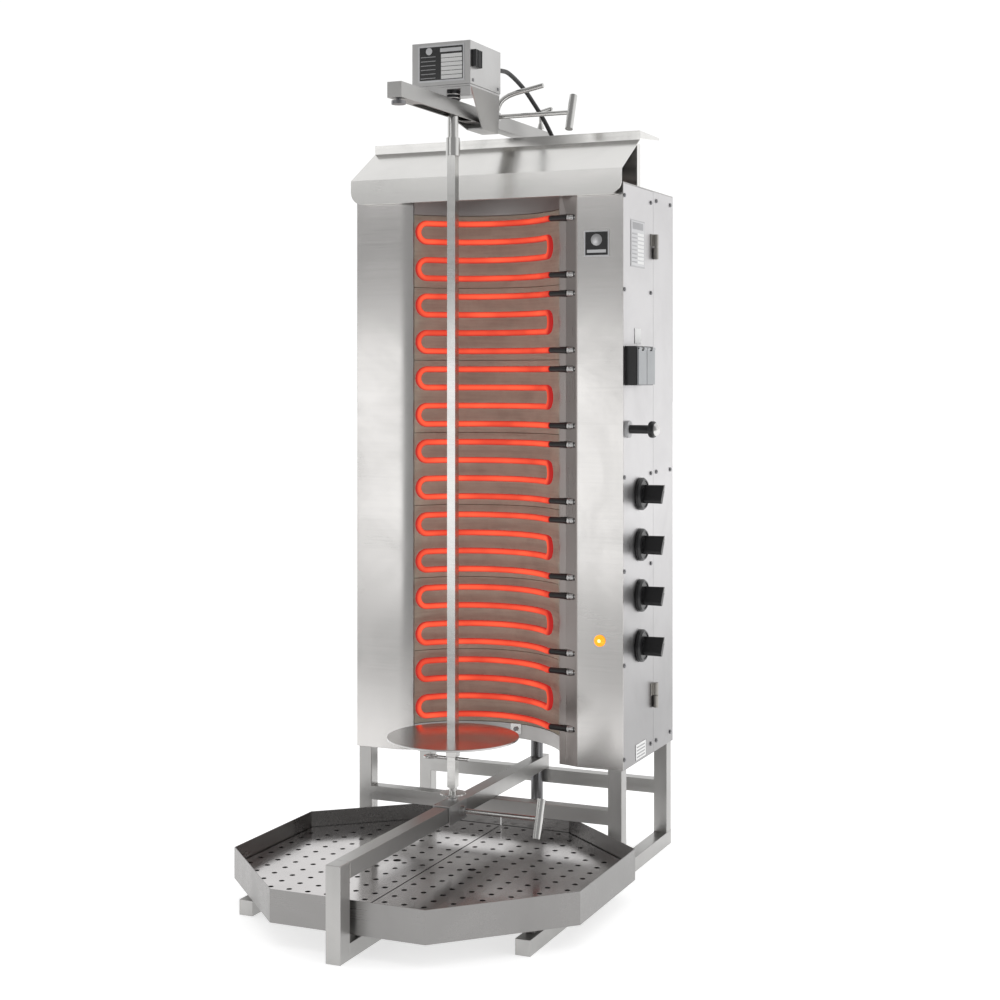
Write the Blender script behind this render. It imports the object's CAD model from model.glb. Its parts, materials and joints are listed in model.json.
"""Vertical rotisserie broiler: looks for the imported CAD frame. Lengths are in metres."""
import json
from math import cos, pi, radians, sin

import bmesh
import bpy
from mathutils import Matrix, Vector


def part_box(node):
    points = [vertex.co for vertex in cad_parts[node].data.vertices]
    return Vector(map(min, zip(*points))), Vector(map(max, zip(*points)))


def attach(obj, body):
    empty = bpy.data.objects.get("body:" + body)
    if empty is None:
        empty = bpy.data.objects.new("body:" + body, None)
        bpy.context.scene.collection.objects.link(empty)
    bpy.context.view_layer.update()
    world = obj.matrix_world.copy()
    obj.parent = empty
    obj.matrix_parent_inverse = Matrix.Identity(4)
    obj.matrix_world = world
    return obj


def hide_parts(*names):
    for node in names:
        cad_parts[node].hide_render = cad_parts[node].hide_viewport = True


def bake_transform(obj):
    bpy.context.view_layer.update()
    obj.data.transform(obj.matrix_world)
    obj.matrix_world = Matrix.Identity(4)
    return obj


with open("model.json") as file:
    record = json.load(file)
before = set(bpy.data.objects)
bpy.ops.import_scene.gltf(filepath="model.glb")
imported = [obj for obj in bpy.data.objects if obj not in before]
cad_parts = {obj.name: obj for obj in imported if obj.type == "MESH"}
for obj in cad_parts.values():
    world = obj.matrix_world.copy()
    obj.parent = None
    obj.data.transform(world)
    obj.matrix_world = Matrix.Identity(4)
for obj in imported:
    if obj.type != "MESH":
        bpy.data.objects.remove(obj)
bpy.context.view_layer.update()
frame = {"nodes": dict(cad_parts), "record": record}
NODES = frame["nodes"]
BODY_OF = {n: b for b, ns in frame["record"]["behaviour"]["bodies"].items() for n in ns}
MM = 0.001


# ---------------------------------------------------------------- camera

def make_camera():
    data = bpy.data.cameras.new("camera")
    data.lens = 61.74
    data.sensor_width = 36.0
    data.shift_y = -0.1238
    data.clip_end = 50
    cam = bpy.data.objects.new("camera", data)
    cam.location = (1.0788, -2.4239, 0.7587)
    cam.rotation_euler = (radians(90), 0, radians(23.51))
    bpy.context.scene.collection.objects.link(cam)
    bpy.context.scene.camera = cam


# ---------------------------------------------------------------- node helpers

class Graph:
    """A material's node tree, with short calls for its nodes."""

    def __init__(self, name):
        self.material = bpy.data.materials.new(name)
        self.material.use_nodes = True
        self.tree = self.material.node_tree
        self.shader = self.tree.nodes["Principled BSDF"]
        self.coords = self.tree.nodes.new("ShaderNodeTexCoord").outputs["Object"]

    def link(self, a, b):
        self.tree.links.new(a, b)

    def set(self, **values):
        for key, value in values.items():
            socket = self.shader.inputs[key.replace("_", " ")]
            if hasattr(value, "is_output"):
                self.link(value, socket)
            else:
                socket.default_value = value

    def scaled(self, scale):
        node = self.tree.nodes.new("ShaderNodeMapping")
        node.inputs["Scale"].default_value = scale
        self.link(self.coords, node.inputs["Vector"])
        return node.outputs["Vector"]

    def noise(self, vector, scale=1.0, detail=3.0, roughness=0.55, distortion=0.0):
        node = self.tree.nodes.new("ShaderNodeTexNoise")
        node.inputs["Scale"].default_value = scale
        node.inputs["Detail"].default_value = detail
        node.inputs["Roughness"].default_value = roughness
        node.inputs["Distortion"].default_value = distortion
        self.link(vector, node.inputs["Vector"])
        return node.outputs["Fac"]

    def ramp(self, value, low, high, out_low, out_high):
        node = self.tree.nodes.new("ShaderNodeMapRange")
        limits = {"From Min": low, "From Max": high, "To Min": out_low, "To Max": out_high}
        for key, number in limits.items():
            node.inputs[key].default_value = number
        self.link(value, node.inputs["Value"])
        return node.outputs["Result"]

    def mix(self, factor, a, b):
        node = self.tree.nodes.new("ShaderNodeMix")
        node.data_type = "RGBA"
        self.link(factor, node.inputs[0])
        for key, value in ((6, a), (7, b)):
            if hasattr(value, "is_output"):
                self.link(value, node.inputs[key])
            else:
                node.inputs[key].default_value = (*value, 1)
        return node.outputs[2]

    def math(self, kind, a, b):
        node = self.tree.nodes.new("ShaderNodeMath")
        node.operation = kind
        for key, value in ((0, a), (1, b)):
            if hasattr(value, "is_output"):
                self.link(value, node.inputs[key])
            else:
                node.inputs[key].default_value = value
        return node.outputs[0]

    def vector(self, kind, a, b=None, output="Vector"):
        node = self.tree.nodes.new("ShaderNodeVectorMath")
        node.operation = kind
        for key, value in ((0, a), (1, b)):
            if hasattr(value, "is_output"):
                self.link(value, node.inputs[key])
            elif value is not None:
                node.inputs[key].default_value = value
        return node.outputs[output]

    def bump(self, height, distance, strength=1.0):
        node = self.tree.nodes.new("ShaderNodeBump")
        node.inputs["Distance"].default_value = distance
        node.inputs["Strength"].default_value = strength
        self.link(height, node.inputs["Height"])
        self.link(node.outputs["Normal"], self.shader.inputs["Normal"])


# ---------------------------------------------------------------- materials

GRAIN = {"x": (8, 1500, 1500), "y": (1500, 8, 1500), "z": (1500, 1500, 8), "none": (300, 300, 300)}
WAY = {"x": (1, 0, 0), "y": (0, 1, 0), "z": (0, 0, 1)}
FOOT_BAND = (0.235, 0.55)


def brushed(name, tint, rough, grain, foot=1.0):
    """Brushed stainless steel whose grain runs along one axis; foot is its shade low on the cabinet."""
    g = Graph(name)
    fine = g.noise(g.scaled(GRAIN[grain]), 1.0, 2.0)
    coarse = g.noise(g.scaled(tuple(s / 5 for s in GRAIN[grain])), 1.0, 3.0)
    wipe = g.noise(g.coords, 7.0, 4.0, 0.6, 0.8)
    streaks = g.math("ADD", g.math("MULTIPLY", fine, 0.6), g.math("MULTIPLY", coarse, 0.4))
    height = g.tree.nodes.new("ShaderNodeSeparateXYZ")
    g.link(g.coords, height.inputs[0])
    film = g.ramp(height.outputs["Z"], *FOOT_BAND, foot, 1.0)
    shade = g.math("MULTIPLY", g.ramp(streaks, 0.3, 0.7, 0.98, 1.01), film)
    colour = g.mix(g.ramp(wipe, 0.35, 0.7, 0.0, 1.0), tint, tuple(c * 0.94 for c in tint))
    dimmed = g.tree.nodes.new("ShaderNodeVectorMath")
    dimmed.operation = "SCALE"
    g.link(colour, dimmed.inputs[0])
    g.link(shade, dimmed.inputs["Scale"])
    rough_here = g.math("ADD", g.ramp(streaks, 0.3, 0.7, rough - 0.03, rough + 0.03),
                        g.ramp(wipe, 0.4, 0.7, -0.02, 0.05))
    g.set(Base_Color=dimmed.outputs[0], Metallic=1.0, Roughness=rough_here)
    if grain != "none":
        way = g.tree.nodes.new("ShaderNodeCombineXYZ")
        for i, value in enumerate(WAY[grain]):
            way.inputs[i].default_value = value
        g.set(Anisotropic=0.5, Tangent=way.outputs[0])
    g.bump(streaks, 0.00002, 0.1)
    return g.material


def polished(name, tint, rough):
    """Bright turned or polished steel with faint marks."""
    g = Graph(name)
    marks = g.noise(g.scaled((60, 60, 900)), 1.0, 3.0)
    wipe = g.noise(g.coords, 18.0, 4.0, 0.6, 0.6)
    g.set(Base_Color=g.mix(g.ramp(wipe, 0.4, 0.7, 0.0, 1.0), tint, tuple(c * 0.93 for c in tint)),
          Metallic=1.0,
          Roughness=g.math("ADD", g.ramp(marks, 0.3, 0.7, rough - 0.03, rough + 0.03),
                           g.ramp(wipe, 0.4, 0.75, 0.0, 0.06)))
    g.bump(marks, 0.00002, 0.4)
    return g.material


def plastic(name, tint, rough, texture=0.00006, scale=1400.0, coat=0.0):
    """Moulded plastic or rubber with a fine skin and slight dust."""
    g = Graph(name)
    skin = g.noise(g.coords, scale, 2.0)
    dust = g.noise(g.coords, 30.0, 5.0, 0.65, 0.5)
    dusty = tuple(min(1, c * 1.5 + 0.01) for c in tint)
    g.set(Base_Color=g.mix(g.ramp(dust, 0.45, 0.8, 0.0, 0.35), tint, dusty),
          Roughness=g.math("ADD", g.ramp(skin, 0.3, 0.7, rough - 0.04, rough + 0.04),
                           g.ramp(dust, 0.45, 0.8, 0.0, 0.08)),
          Coat_Weight=coat, Coat_Roughness=0.15)
    g.bump(skin, texture, 0.5)
    return g.material


def ceramic(name, tint):
    """Fired refractory with mottling, pores and a scorched bloom."""
    g = Graph(name)
    mottle = g.noise(g.coords, 22.0, 6.0, 0.62, 0.4)
    grit = g.noise(g.coords, 700.0, 3.0, 0.6)
    ribs = g.noise(g.scaled((20, 20, 260)), 1.0, 2.0)
    base = g.mix(g.ramp(mottle, 0.3, 0.72, 0.0, 1.0), tint, tuple(c * 0.72 for c in tint))
    pale = tuple(min(1, c * 1.15) for c in tint)
    g.set(Base_Color=g.mix(g.ramp(ribs, 0.35, 0.65, 0.0, 0.35), base, pale),
          Roughness=g.ramp(grit, 0.3, 0.7, 0.78, 0.95), Specular_IOR_Level=0.25)
    g.bump(g.math("ADD", grit, g.math("MULTIPLY", ribs, 0.6)), 0.0003, 0.6)
    return g.material


def glowing(name, core, edge, strength, axis):
    """Red-hot metal, brightest where it faces a vertical axis and cooler round its sides."""
    g = Graph(name)
    patches = g.noise(g.coords, 14.0, 2.0, 0.5)
    scale = g.noise(g.coords, 420.0, 3.0, 0.6)
    place = g.tree.nodes.new("ShaderNodeNewGeometry")
    inward = g.vector("MULTIPLY", g.vector("SUBTRACT", axis, place.outputs["Position"]), (1, 1, 0))
    facing = g.vector("DOT_PRODUCT", g.vector("NORMALIZE", inward), place.outputs["Normal"], "Value")
    heat = g.math("MULTIPLY", g.ramp(facing, 0.3, 1.0, 0.0, 1.0), g.ramp(patches, 0.35, 0.65, 1.0, 0.5))
    g.set(Base_Color=(0.05, 0.012, 0.01, 1), Roughness=g.ramp(scale, 0.3, 0.7, 0.55, 0.75),
          Specular_IOR_Level=0.2, Emission_Color=g.mix(heat, edge, core), Emission_Strength=strength)
    g.bump(scale, 0.0001, 0.4)
    return g.material


def lamp(name, tint, strength):
    """Ribbed amber lens lit from inside."""
    g = Graph(name)
    ribs = g.noise(g.scaled((1, 1, 500)), 1.0, 1.0)
    g.set(Base_Color=(*tint, 1), Roughness=0.2, Emission_Color=(*tint, 1),
          Emission_Strength=g.ramp(ribs, 0.3, 0.7, strength * 0.8, strength * 1.2))
    g.bump(ribs, 0.0002, 0.5)
    return g.material


def frosted(name, tint, rough):
    """Frosted clear plastic over a pale backing."""
    g = Graph(name)
    haze = g.noise(g.coords, 900.0, 3.0)
    cloud = g.noise(g.coords, 40.0, 3.0)
    g.set(Base_Color=g.mix(g.ramp(cloud, 0.3, 0.7, 0.0, 1.0), tint, tuple(c * 0.9 for c in tint)),
          Roughness=g.ramp(haze, 0.3, 0.7, rough - 0.06, rough + 0.06),
          Coat_Weight=0.5, Coat_Roughness=0.2)
    g.bump(haze, 0.00005, 0.4)
    return g.material


BAY = Vector((-4 * MM, -70 * MM, 0))
HOT = (1.0, 0.115, 0.05)
DULL = (0.36, 0.010, 0.010)
MATERIALS = {
    "stand": brushed("stand_steel", (0.47, 0.465, 0.455), 0.33, "y"),
    "column": brushed("column_steel", (0.70, 0.685, 0.67), 0.22, "x"),
    "side": brushed("side_steel", (0.63, 0.62, 0.625), 0.36, "z", 0.52),
    "hood": brushed("hood_steel", (0.82, 0.81, 0.79), 0.22, "x"),
    "cheek": brushed("cheek_steel", (0.40, 0.365, 0.35), 0.30, "z"),
    "hinge": polished("hinge_steel", (0.40, 0.385, 0.36), 0.34),
    "inner": brushed("bay_steel", (0.52, 0.51, 0.50), 0.42, "x"),
    "tray": brushed("tray_steel", (0.295, 0.29, 0.285), 0.28, "x"),
    "strainer": brushed("strainer_steel", (0.56, 0.54, 0.535), 0.15, "y"),
    "head": brushed("head_steel", (0.56, 0.555, 0.55), 0.33, "x"),
    "polished": polished("polished_steel", (0.66, 0.655, 0.64), 0.17),
    "mast": polished("mast_steel", (0.16, 0.16, 0.165), 0.14),
    "disc": brushed("disc_steel", (0.58, 0.57, 0.56), 0.16, "x"),
    "bright": polished("bright_steel", (0.74, 0.73, 0.72), 0.22),
    "nut": polished("nut_steel", (0.52, 0.515, 0.51), 0.30),
    "screw": polished("screw_steel", (0.26, 0.26, 0.27), 0.36),
    "weld": polished("weld_steel", (0.36, 0.35, 0.34), 0.42),
    "dark": brushed("dark_steel", (0.10, 0.10, 0.105), 0.42, "none"),
    "tile": ceramic("tile_ceramic", (0.55, 0.61, 0.50)),
    "fibre": ceramic("fibre_board", (0.80, 0.78, 0.73)),
    "element": glowing("glowing_element", HOT, DULL, 1.2, BAY),
    "lamp": lamp("amber_lamp", (1.0, 0.34, 0.015), 1.0),
    "lamp_core": lamp("lamp_core", (1.0, 0.85, 0.35), 1.6),
    "black": plastic("black_plastic", (0.012, 0.012, 0.013), 0.30),
    "sleeve": plastic("sleeve_rubber", (0.016, 0.015, 0.015), 0.38, 0.0002, 500.0),
    "cable": plastic("cable_rubber", (0.016, 0.016, 0.017), 0.48, 0.0001, 900.0),
    "badge": plastic("badge_black", (0.010, 0.010, 0.011), 0.28, 0.00002, 1600.0, 0.3),
    "silver": polished("badge_silver", (0.62, 0.62, 0.63), 0.30),
    "label": plastic("label_white", (0.90, 0.90, 0.89), 0.45),
    "ink": plastic("label_ink", (0.10, 0.10, 0.11), 0.5),
    "grey_ink": plastic("label_grey", (0.40, 0.40, 0.41), 0.5),
    "regulator": plastic("regulator_body", (0.62, 0.57, 0.45), 0.5),
    "lid": frosted("lid_frosted", (0.32, 0.335, 0.35), 0.34),
    "frost": frosted("collar_frosted", (0.50, 0.50, 0.51), 0.4),
    "rocker": plastic("rocker_red", (0.42, 0.02, 0.015), 0.25),
    "pointer": plastic("pointer_white", (0.80, 0.80, 0.78), 0.4),
}


# ---------------------------------------------------------------- mesh helpers

def new_piece(name, mesh, material, body):
    """An object in the frame that rides on a CAD body, or on none where it bends between two."""
    obj = bpy.data.objects.new(name, mesh)
    bpy.context.scene.collection.objects.link(obj)
    mesh.materials.clear()
    mesh.materials.append(MATERIALS[material])
    if body:
        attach(obj, body)
    return obj


def smooth_shade(mesh, angle=50):
    mesh.shade_smooth()
    mesh.set_sharp_from_angle(angle=radians(angle))


def even_normals(piece):
    """Keep broad faces flat where they meet narrow rounded edges."""
    weigh = piece.modifiers.new("weighted_normals", "WEIGHTED_NORMAL")
    weigh.keep_sharp = True
    return piece


def refine(node, material, edge, segments=2, angle=35):
    """The CAD node's own shape with its sharp edges eased, standing in for the node."""
    mesh = NODES[node].data.copy()
    bm = bmesh.new()
    bm.from_mesh(mesh)
    bmesh.ops.remove_doubles(bm, verts=bm.verts, dist=2e-6)
    bmesh.ops.dissolve_limit(bm, angle_limit=radians(0.5), verts=bm.verts, edges=bm.edges)
    sharp = [e for e in bm.edges if len(e.link_faces) == 2 and e.calc_face_angle(0) > radians(angle)]
    bmesh.ops.bevel(bm, geom=sharp, offset=edge * MM, offset_type="OFFSET", segments=segments,
                    profile=0.5, affect="EDGES", clamp_overlap=True, harden_normals=False)
    bm.to_mesh(mesh)
    bm.free()
    smooth_shade(mesh, 40)
    piece = new_piece(node + "_piece", mesh, material, BODY_OF[node])
    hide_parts(node)
    return even_normals(piece)


def sweep(name, points, radius, sides, material, body, closed=False, radii=None):
    """Round tube along a list of points."""
    count = len(points)
    pts = [Vector(p) for p in points]

    def way(i):
        if closed:
            return (pts[(i + 1) % count] - pts[i - 1]).normalized()
        return (pts[min(i + 1, count - 1)] - pts[max(i - 1, 0)]).normalized()

    side = way(0).orthogonal().normalized()
    bm = bmesh.new()
    rings = []
    for i in range(count):
        ahead = way(i)
        side = (side - ahead * side.dot(ahead)).normalized()
        other = ahead.cross(side)
        r = radii[i] if radii else radius
        turns = [2 * pi * k / sides for k in range(sides)]
        rings.append([bm.verts.new(pts[i] + (side * cos(t) + other * sin(t)) * r) for t in turns])
    steps = count if closed else count - 1
    for i in range(steps):
        a, b = rings[i], rings[(i + 1) % count]
        for k in range(sides):
            bm.faces.new((a[k], a[(k + 1) % sides], b[(k + 1) % sides], b[k]))
    if not closed:
        bm.faces.new(list(reversed(rings[0])))
        bm.faces.new(rings[-1])
    mesh = bpy.data.meshes.new(name)
    bmesh.ops.recalc_face_normals(bm, faces=bm.faces)
    bm.to_mesh(mesh)
    bm.free()
    smooth_shade(mesh, 60)
    return new_piece(name, mesh, material, body)


def spline(points, steps):
    """Catmull-Rom points through a list of points, with steps between neighbours."""
    pts = [Vector(p) for p in points]
    pts = [pts[0] * 2 - pts[1]] + pts + [pts[-1] * 2 - pts[-2]]
    out = []
    for i in range(1, len(pts) - 2):
        p0, p1, p2, p3 = pts[i - 1:i + 3]
        for k in range(steps):
            t = k / steps
            out.append(0.5 * ((2 * p1) + (p2 - p0) * t + (2 * p0 - 5 * p1 + 4 * p2 - p3) * t ** 2
                              + (3 * p1 - p0 - 3 * p2 + p3) * t ** 3))
    out.append(pts[-2])
    return out


def turned(name, profile, material, body, place, sides=64):
    """Solid of revolution: profile is (radius, height) pairs about the Z axis of its place."""
    bm = bmesh.new()
    rings = []
    for radius, height in profile:
        if radius < 1e-7:
            rings.append([bm.verts.new((0, 0, height))])
        else:
            turns = [2 * pi * k / sides for k in range(sides)]
            rings.append([bm.verts.new((radius * cos(t), radius * sin(t), height)) for t in turns])
    for a, b in zip(rings, rings[1:]):
        for k in range(sides):
            j = (k + 1) % sides
            if len(a) == 1 and len(b) > 1:
                bm.faces.new((a[0], b[j], b[k]))
            elif len(b) == 1 and len(a) > 1:
                bm.faces.new((a[k], a[j], b[0]))
            elif len(a) > 1:
                bm.faces.new((a[k], a[j], b[j], b[k]))
    bm.transform(place)
    mesh = bpy.data.meshes.new(name)
    bmesh.ops.recalc_face_normals(bm, faces=bm.faces)
    bm.to_mesh(mesh)
    bm.free()
    smooth_shade(mesh, 35)
    return new_piece(name, mesh, material, body)


def plate(name, low, high, edge, material, body, slot, segments=3):
    """Thin plate between two corners with rounded edges."""
    bm = bmesh.new()
    bmesh.ops.create_cube(bm, size=1.0)
    low, high = Vector(low), Vector(high)
    size = high - low
    bmesh.ops.transform(bm, verts=bm.verts,
                        matrix=Matrix.Translation((low + high) / 2) @ Matrix.Diagonal((*size, 1)))
    thin = min(range(3), key=lambda i: size[i])
    corners = [e for e in bm.edges
               if abs((e.verts[0].co - e.verts[1].co)[thin]) > 1e-6]
    bmesh.ops.bevel(bm, geom=corners, offset=edge, segments=5, profile=0.5, affect="EDGES")
    rim = [e for e in bm.edges if e.calc_face_angle(0) > radians(60)]
    bmesh.ops.bevel(bm, geom=rim, offset=min(edge, size[thin]) * 0.3, segments=segments, profile=0.5,
                    affect="EDGES", clamp_overlap=True)
    mesh = bpy.data.meshes.new(name)
    bm.to_mesh(mesh)
    bm.free()
    smooth_shade(mesh, 40)
    return even_normals(new_piece(name, mesh, material, body))


def solids(node):
    """(lowest corner, highest corner) of each separate solid in a CAD node, from the top down."""
    bm = bmesh.new()
    bm.from_mesh(NODES[node].data)
    bmesh.ops.remove_doubles(bm, verts=bm.verts, dist=2e-6)
    left, boxes = set(bm.verts), []
    while left:
        group, edge = set(), [left.pop()]
        while edge:
            vert = edge.pop()
            group.add(vert)
            for link in vert.link_edges:
                other = link.other_vert(vert)
                if other in left:
                    left.discard(other)
                    edge.append(other)
        co = [v.co for v in group]
        boxes.append((Vector([min(c[i] for c in co) for i in range(3)]),
                      Vector([max(c[i] for c in co) for i in range(3)])))
    bm.free()
    return sorted(boxes, key=lambda b: (-round(b[0].z, 4), b[0].y, b[0].x))


def in_metres(profile):
    """A turned profile given in millimetres."""
    return [(radius * MM, height * MM) for radius, height in profile]


def facing_front(centre):
    """Place of a turned piece whose axis points to the front, along -Y."""
    return Matrix.Translation(centre) @ Matrix.Rotation(radians(90), 4, "X")


def hexagon(name, middle, radius, thick, material, body):
    """Chamfered nut whose axis is along X."""
    profile = ((0, -thick / 2), (radius * 0.86, -thick / 2), (radius, -thick / 2 + 0.5 * MM),
               (radius, thick / 2 - 0.5 * MM), (radius * 0.86, thick / 2), (0, thick / 2))
    place = Matrix.Translation(middle) @ Matrix.Rotation(radians(90), 4, "Y")
    return turned(name, profile, material, body, place, 6)


def printed(name, box, face, area, material, body, slot, proud=0.25):
    """Thin printed block on the face of a box; area is (left, bottom, right, top) as shares of the face."""
    low, high = box
    left, bottom, right, top = area
    size = high - low
    z0, z1 = low.z + bottom * size.z, low.z + top * size.z
    if face == "front":
        corners = ((low.x + left * size.x, low.y - proud * MM, z0), (low.x + right * size.x, low.y, z1))
    else:
        corners = ((high.x, low.y + left * size.y, z0), (high.x + proud * MM, low.y + right * size.y, z1))
    return plate(name, *corners, 0.3 * MM, material, body, slot, 1)


def bead(name, a, b):
    """Ground weld bead with small ripples between two points."""
    a, b = Vector(a), Vector(b)
    radius = 1.6 * MM
    steps = max(6, int((b - a).length / (1.1 * MM)))
    points = [a.lerp(b, i / steps) for i in range(steps + 1)]
    ends = [min(1, 0.4 + 0.3 * min(i, steps - i)) for i in range(steps + 1)]
    radii = [radius * (0.86 + 0.14 * sin(i * 2.2)) * end for i, end in enumerate(ends)]
    return sweep(name, points, radius, 10, "weld", "frame", radii=radii)


# ---------------------------------------------------------------- cord

CABLE_D = 7 * MM
CABLE_ROUTE = [Vector(p) * MM for p in (
    (36, -52, 1222), (36, -44, 1222), (35.7, -32, 1223.3), (35, -18, 1225.5), (34, 5, 1227), (33, 30, 1224),
    (33, 55, 1218), (34, 80, 1209), (35, 105, 1197), (38, 130, 1181), (41, 152, 1164),
    (44, 170, 1146), (46, 182, 1127), (48, 189, 1107), (50, 192, 1087), (50, 192, 1070),
    (50, 192, 1048))]


def make_cable():
    path = spline(CABLE_ROUTE, 6)
    cable = sweep("motor_cable_piece", path, CABLE_D / 2, 20, "cable", None)
    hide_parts("motor_cable")
    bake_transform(cable)


# ---------------------------------------------------------------- stand and cabinet

TUBE = 22 * MM
COLUMN_FACE = 73 * MM


def make_stand():
    for node in ("floor_rails", "spit_beam", "front_post", "top_arm", "stand_frame"):
        refine(node, "stand", 0.9, 3)
    refine("mast", "mast", 0.6)
    make_welds()


def make_welds():
    """Beads at the feet of the legs and where the spit beam meets its post."""
    count = 0
    low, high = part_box("stand_frame")
    for x in (low.x, high.x - TUBE):
        for y in (low.y, high.y - TUBE):
            for a, b in (((x, y), (x + TUBE, y)), ((x, y + TUBE), (x + TUBE, y + TUBE))):
                count += 1
                bead(f"weld_{count}", (*a, low.z + 0.3 * MM), (*b, low.z + 0.3 * MM))
    post_low, post_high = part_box("front_post")
    beam_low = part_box("spit_beam")[0].z
    for x in (post_low.x, post_high.x):
        count += 1
        foot = Vector((x, post_high.y, beam_low + MM))
        bead(f"weld_{count}", foot, foot + Vector((0, 0, TUBE - 2 * MM)))


def make_cabinet():
    refine("left_column", "column", 0.5, 3, 20)
    right = refine("right_column", "column", 0.5, 3, 20)
    face_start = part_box("left_side_cover")[0].x + COLUMN_FACE
    right.data.materials.append(MATERIALS["cheek"])
    for polygon in right.data.polygons:
        polygon.material_index = 1 if polygon.center.x < -face_start - 0.5 * MM else 0
    for node in ("left_side_cover", "rear_side_panel", "control_panel", "cabinet_back"):
        refine(node, "side", 0.4)
    refine("cabinet_end_plates", "inner", 0.4)
    refine("hood", "hood", 0.6, 3, 20)
    refine("flue_plate", "hood", 0.5)
    refine("bay_trims", "inner", 0.3)
    make_tile_bracket()


def make_tile_bracket():
    """Bright tab with a bolt that holds the lowest tile from below."""
    width, thick, drop = 18 * MM, 0.5 * MM, 17 * MM
    high = Vector((29 * MM, 73.9 * MM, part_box("ceramic_tiles")[0].z))
    low = high - Vector((width, thick, drop))
    plate("tile_bracket", low, high, 2 * MM, "bright", "frame", "cabinet_steel")
    bolt = ((0, 3.2), (3.0, 3.2), (3.4, 2.8), (3.4, 0))
    turned("tile_bolt", in_metres(bolt), "screw", "frame",
           facing_front(((low.x + high.x) / 2, low.y, low.z + 9 * MM)), 6)


# ---------------------------------------------------------------- heater

ELEMENT_R = 131 * MM
PASS_PITCH = 115 * MM / 4
ZONES = 7
PASSES = 4
ROD_R = 4.75 * MM
SLEEVE_END = Vector((133 * MM, 5.6 * MM, 0))
HALF_ANGLE = radians(58) - PASS_PITCH / 2 / ELEMENT_R


def arc_point(angle, z):
    return BAY + Vector((ELEMENT_R * sin(angle), ELEMENT_R * cos(angle), z))


def element_route(middle):
    """Four passes joined by three turns, between two short bends into the sleeves."""
    start = arc_point(HALF_ANGLE, 0)
    bend = start + (SLEEVE_END - start).normalized() * 4 * MM
    points = [bend + Vector((0, 0, middle + 1.5 * PASS_PITCH))]
    for k in range(PASSES):
        z = middle + (1.5 - k) * PASS_PITCH
        start = HALF_ANGLE if k % 2 == 0 else -HALF_ANGLE
        points += [arc_point(start - 2 * start * i / 40, z) for i in range(41)]
        if k < PASSES - 1:
            side = -1 if k % 2 == 0 else 1
            tip = arc_point(side * HALF_ANGLE, z - PASS_PITCH / 2)
            out = Vector((side * cos(HALF_ANGLE), -sin(HALF_ANGLE), 0))
            points += [tip + out * sin(pi * i / 14) * PASS_PITCH / 2
                       + Vector((0, 0, cos(pi * i / 14) * PASS_PITCH / 2)) for i in range(1, 14)]
    return points + [bend + Vector((0, 0, middle - 1.5 * PASS_PITCH))]


def zone_middles():
    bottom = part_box("ceramic_tiles")[0].z - 0.4 * MM
    return [bottom + (i + 0.5) * PASS_PITCH * PASSES for i in range(ZONES)]


def make_heater():
    refine("ceramic_tiles", "tile", 0.8)
    refine("insulation_board", "fibre", 0.8)
    for i, middle in enumerate(zone_middles(), 1):
        tube = sweep(f"element_{i}", element_route(middle), ROD_R, 16,
                     "element", "frame")
        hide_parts("heating_elements")
    refine("insulator_sleeves", "sleeve", 1.2, 3)
    refine("terminal_nuts", "nut", 0.5)
    for i, (low, high) in enumerate(solids("terminal_nuts"), 1):
        middle = (low + high) / 2
        for k, (x, radius) in enumerate(((low.x + 2.4 * MM, 6.0 * MM), (low.x + 7.2 * MM, 5.4 * MM))):
            hexagon(f"nut_{i}_{k + 1}", (x, middle.y, middle.z), radius, 3.2 * MM,
                    "nut", "frame")
    refine("terminal_block", "label", 0.6)


# ---------------------------------------------------------------- controls

def make_controls():
    refine("hinge_pins", "hinge", 0.3)
    refine("panel_hinges", "hinge", 0.3)
    refine("panel_screws", "screw", 0.3)
    refine("frame_screws", "screw", 0.4)
    refine("panel_plates", "frost", 0.15)
    refine("regulators", "regulator", 0.8)
    refine("switch_box", "black", 1.0, 3)
    for side in ("front", "rear"):
        refine("switch_lid_" + side, "lid", 0.5)
        refine("switch_rocker_" + side, "rocker", 0.5)
    for k in range(1, 5):
        make_knob(k)
    make_stem_knob()
    refine("pilot_lamp", "lamp", 0.4)
    low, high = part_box("pilot_lamp")
    middle = (low + high) / 2
    turned("lamp_core", in_metres(((0, 0.5), (1.6, 0.4), (2.6, 0))), "lamp_core", "frame",
           facing_front((middle.x, low.y + 0.4 * MM, middle.z)), 24)
    turns = [2 * pi * i / 64 for i in range(64)]
    bezel_r = 8 * MM
    bezel = [(middle.x + bezel_r * cos(t), -1.2 * MM, middle.z + bezel_r * sin(t)) for t in turns]
    sweep("lamp_bezel", bezel, 0.8 * MM, 10, "lamp", "frame", closed=True)
    make_badge()
    make_data_plates()
    refine("cable_glands", "black", 0.5)


def make_knob(k):
    """Regulator knob with a pointer line on its tilted grip."""
    node = f"regulator_knob_{k}"
    refine(node, "black", 0.7, 3)
    low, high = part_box(node)
    centre = (low + high) / 2
    radius = (high.y - low.y) / 2
    skirt = low.x + 11 * MM
    edge = radius * 0.93
    turns = [2 * pi * i / 96 for i in range(96)]
    ring = [(skirt, centre.y + edge * cos(t), centre.z + edge * sin(t)) for t in turns]
    sweep(f"knob_ring_{k}", ring, 0.7 * MM, 8, "black", BODY_OF[node], closed=True)
    tilt = radians(30)
    way = Vector((0, sin(tilt), cos(tilt)))
    tip = Vector((high.x + 0.1 * MM, centre.y, centre.z))
    sweep(f"knob_line_{k}", [tip + way * radius * 0.25, tip + way * radius * 0.65], 0.8 * MM, 10, "pointer",
          BODY_OF[node])


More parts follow.
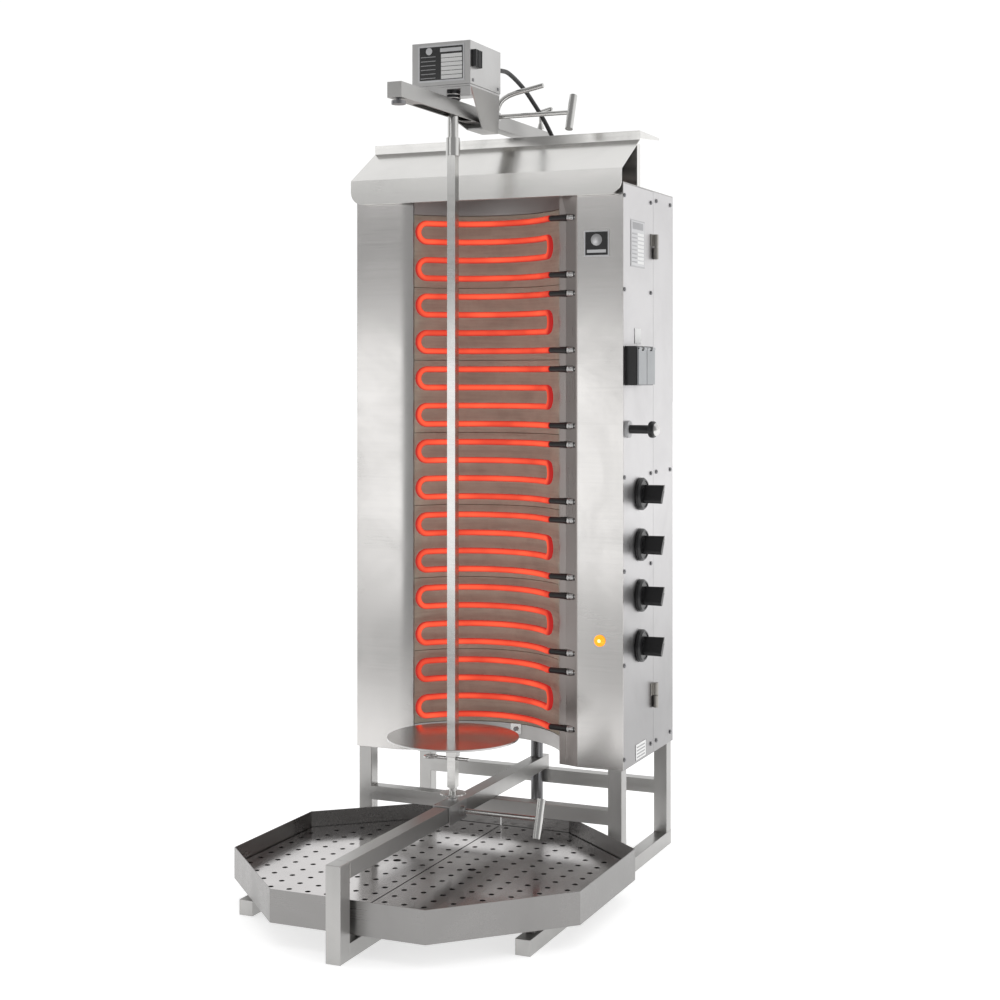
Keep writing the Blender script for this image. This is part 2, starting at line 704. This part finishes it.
def make_stem_knob():
    """Pull knob: black stem and a black head with a bright dome."""
    low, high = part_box("stem_knob")
    face = solids("panel_plates")[0][0].x
    place = Matrix.Translation((face, (low.y + high.y) / 2, (low.z + high.z) / 2)) \
        @ Matrix.Rotation(radians(90), 4, "Y")
    length = (high.x - face) / MM
    start = (low.x - face) / MM
    parts = (
        ("stem", "black", ((0, start), (6.5, start), (6.5, 35), (6.0, 36), (0, 36))),
        ("head", "black", ((0, 35.5), (9, 35.5), (11.4, 36.4), (12.5, 38.2), (12.5, 42.6), (11.6, 44.4),
                           (9.8, 45.2), (0, 45.2))),
        ("dome", "bright", ((9.6, 45.1), (9.4, 46.2), (8.2, 48.2), (6.2, 49.9), (3.4, length - 0.3),
                            (0, length))),
    )
    for part, material, profile in parts:
        piece = turned("stem_knob_" + part, in_metres(profile), material,
                       BODY_OF["stem_knob"], place)
        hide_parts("stem_knob")


def make_badge():
    """Blank black badge with a pale border, a plain disc and a plain bar."""
    refine("badge_plate", "silver", 0.2)
    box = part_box("badge_plate")
    printed("badge_field", box, "front", (0.05, 0.05, 0.95, 0.95), "badge", "frame", "badge", 0.3)
    printed("badge_bar", box, "front", (0.12, 0.14, 0.88, 0.26), "silver", "frame", "badge", 0.5)
    low, high = box
    centre = ((low.x + high.x) / 2, low.y - 0.3 * MM, low.z + 0.64 * (high.z - low.z))
    turned("badge_disc", in_metres(((0, 0.25), (8.5, 0.2), (8.8, 0))), "silver", "frame",
           facing_front(centre))


def make_data_plates():
    """Blank rows on the plates of the control side."""
    rating, small, collar, lower = solids("panel_plates")
    body = BODY_OF["panel_plates"]
    printed("rating_ground", rating, "side", (0.03, 0.03, 0.97, 0.97), "silver", body, "label")
    printed("rating_header", rating, "side", (0.12, 0.80, 0.88, 0.95), "grey_ink", body, "label", 0.4)
    for i in range(8):
        z = 0.08 + i * 0.085
        printed(f"rating_row_{i + 1}", rating, "side", (0.48, z, 0.92, z + 0.055),
                "label", body, "label", 0.4)
        printed(f"rating_name_{i + 1}", rating, "side", (0.08, z + 0.015, 0.42, z + 0.04),
                "grey_ink", body, "label", 0.4)
    printed("small_ground", small, "side", (0.01, 0.01, 0.99, 0.99), "label", body, "label", 0.2)
    printed("lower_ground", lower, "side", (0.01, 0.01, 0.99, 0.99), "label", body, "label", 0.2)
    for i in range(4):
        z = 0.12 + i * 0.21
        printed(f"lower_row_{i + 1}", lower, "side", (0.1, z, 0.9, z + 0.09),
                "grey_ink", body, "label", 0.3)


# ---------------------------------------------------------------- head and spit

def make_head():
    refine("head_saddle", "head", 0.4)
    refine("motor_box", "head", 0.9, 3)
    refine("motor_label", "silver", 0.2)
    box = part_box("motor_label")
    printed("label_field", box, "front", (0.035, 0.05, 0.965, 0.95), "badge", "head", "label")
    printed("label_bar", box, "front", (0.48, 0.80, 0.94, 0.90), "silver", "head", "label", 0.4)
    for i in range(6):
        z = 0.07 + i * 0.115
        printed(f"label_row_{i + 1}", box, "front", (0.5, z, 0.95, z + 0.1), "label", "head", "label", 0.4)
        printed(f"label_name_{i + 1}", box, "front", (0.06, z + 0.03, 0.38, z + 0.05),
                "grey_ink", "head", "label", 0.4)
    low, high = box
    centre = (low.x + 0.24 * (high.x - low.x), low.y - 0.25 * MM, low.z + 0.84 * (high.z - low.z))
    turned("label_disc", in_metres(((0, 0.2), (5, 0.16), (5.2, 0))), "silver", "head",
           facing_front(centre))
    make_box_screws()
    refine("gear_motor", "dark", 0.6)
    refine("motor_connector", "black", 0.4)
    refine("grab_lever", "polished", 0.5)
    refine("upper_clamp_handle", "polished", 0.8, 3)
    refine("wing_lever", "polished", 0.4)
    refine("drive_coupling", "dark", 0.5)
    make_coupling_rings()


def make_box_screws():
    """Pan-head screws along the lower edge of the motor box's sides."""
    low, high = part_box("motor_box")
    for i, y in enumerate((low.y + 10 * MM, high.y - 10 * MM), 1):
        for side, x in ((-1, low.x), (1, high.x)):
            place = Matrix.Translation((x, y, low.z + 6 * MM)) @ Matrix.Rotation(radians(90) * side, 4, "Y")
            profile = in_metres(((0, 0), (2.6, 0), (2.5, 0.7), (1.7, 1.3), (0, 1.5)))
            name = f"box_screw_{i}_{'left' if side < 0 else 'right'}"
            turned(name, profile, "screw", "head", place, 24)


def make_coupling_rings():
    """Bright bands round the drive socket."""
    low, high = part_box("drive_coupling")
    radius = 11 * MM
    middle = (low + high) / 2
    for i, z in enumerate((low.z + 2.5 * MM, low.z + 8 * MM), 1):
        turns = [2 * pi * k / 64 for k in range(64)]
        ring = [(middle.x + radius * cos(t), middle.y + radius * sin(t), z) for t in turns]
        sweep(f"coupling_ring_{i}", ring, 0.9 * MM, 10, "bright", BODY_OF["drive_coupling"],
              closed=True)


def make_spit():
    refine("spit_rod", "polished", 0.6, 3)
    refine("meat_disc", "disc", 0.6, 3)
    refine("cotter_pin", "bright", 0.4)
    refine("bearing_carriage", "head", 0.4)
    refine("lower_clamp_handle", "polished", 0.8, 3)


def make_tray():
    for side in ("left", "right"):
        refine("drip_tray_" + side, "tray", 0.4, 2, 25)
        refine("strainer_" + side, "strainer", 0.35)


# ---------------------------------------------------------------- stage and light

def make_stage():
    bm = bmesh.new()
    bmesh.ops.create_grid(bm, x_segments=2, y_segments=2, size=60)
    mesh = bpy.data.meshes.new("floor")
    bm.to_mesh(mesh)
    bm.free()
    floor = bpy.data.objects.new("floor", mesh)
    bpy.context.scene.collection.objects.link(floor)
    g = Graph("floor_white")
    parts = g.tree.nodes.new("ShaderNodeSeparateXYZ")
    g.link(g.coords, parts.inputs[0])
    near = g.ramp(parts.outputs["Y"], -1.7, -0.9, 0.0, 1.0)
    g.set(Base_Color=g.mix(near, (0.42, 0.42, 0.42), (0.82, 0.82, 0.82)), Roughness=0.75,
          Specular_IOR_Level=0.1, Emission_Color=(1, 1, 1, 1),
          Emission_Strength=g.ramp(near, 0, 1, 0.0, 0.62))
    mesh.materials.append(g.material)


def area_light(name, place, target, size, power):
    data = bpy.data.lights.new(name, "AREA")
    data.shape = "RECTANGLE"
    data.size, data.size_y = size
    data.energy = power
    light = bpy.data.objects.new(name, data)
    light.location = place
    light.rotation_euler = (Vector(target) - Vector(place)).to_track_quat("-Z", "Y").to_euler()
    bpy.context.scene.collection.objects.link(light)


def make_light():
    """Bright sweep behind the object, a dimmer room in front of it, and one softbox low on the left."""
    world = bpy.data.worlds.new("studio")
    world.use_nodes = True
    bpy.context.scene.world = world
    tree = world.node_tree
    back = tree.nodes["Background"]
    way = tree.nodes.new("ShaderNodeSeparateXYZ")
    tree.links.new(tree.nodes.new("ShaderNodeTexCoord").outputs["Generated"], way.inputs[0])
    levels = []
    for axis, low, high, dim, bright in (("Y", -0.5, -0.05, 0.36, 1.04), ("Z", 0.25, 0.8, 1.0, 0.86)):
        node = tree.nodes.new("ShaderNodeMapRange")
        for key, number in (("From Min", low), ("From Max", high), ("To Min", dim), ("To Max", bright)):
            node.inputs[key].default_value = number
        tree.links.new(way.outputs[axis], node.inputs["Value"])
        levels.append(node.outputs["Result"])
    both = tree.nodes.new("ShaderNodeMath")
    both.operation = "MULTIPLY"
    tree.links.new(levels[0], both.inputs[0])
    tree.links.new(levels[1], both.inputs[1])
    tree.links.new(both.outputs[0], back.inputs["Strength"])
    back.inputs["Color"].default_value = (1, 1, 1, 1)
    area_light("softbox", (-1.3, -2.9, 0.48), (0, 0, 0.6), (1.7, 0.95), 5.3)
    area_light("high_softbox", (-1.3, -2.9, 1.60), (0, 0, 1.1), (1.7, 0.30), 1.7)
    bpy.context.scene.view_settings.view_transform = "Standard"


make_camera()
make_cable()
make_stand()
make_cabinet()
make_heater()
make_controls()
make_head()
make_spit()
make_tray()
make_stage()
make_light()
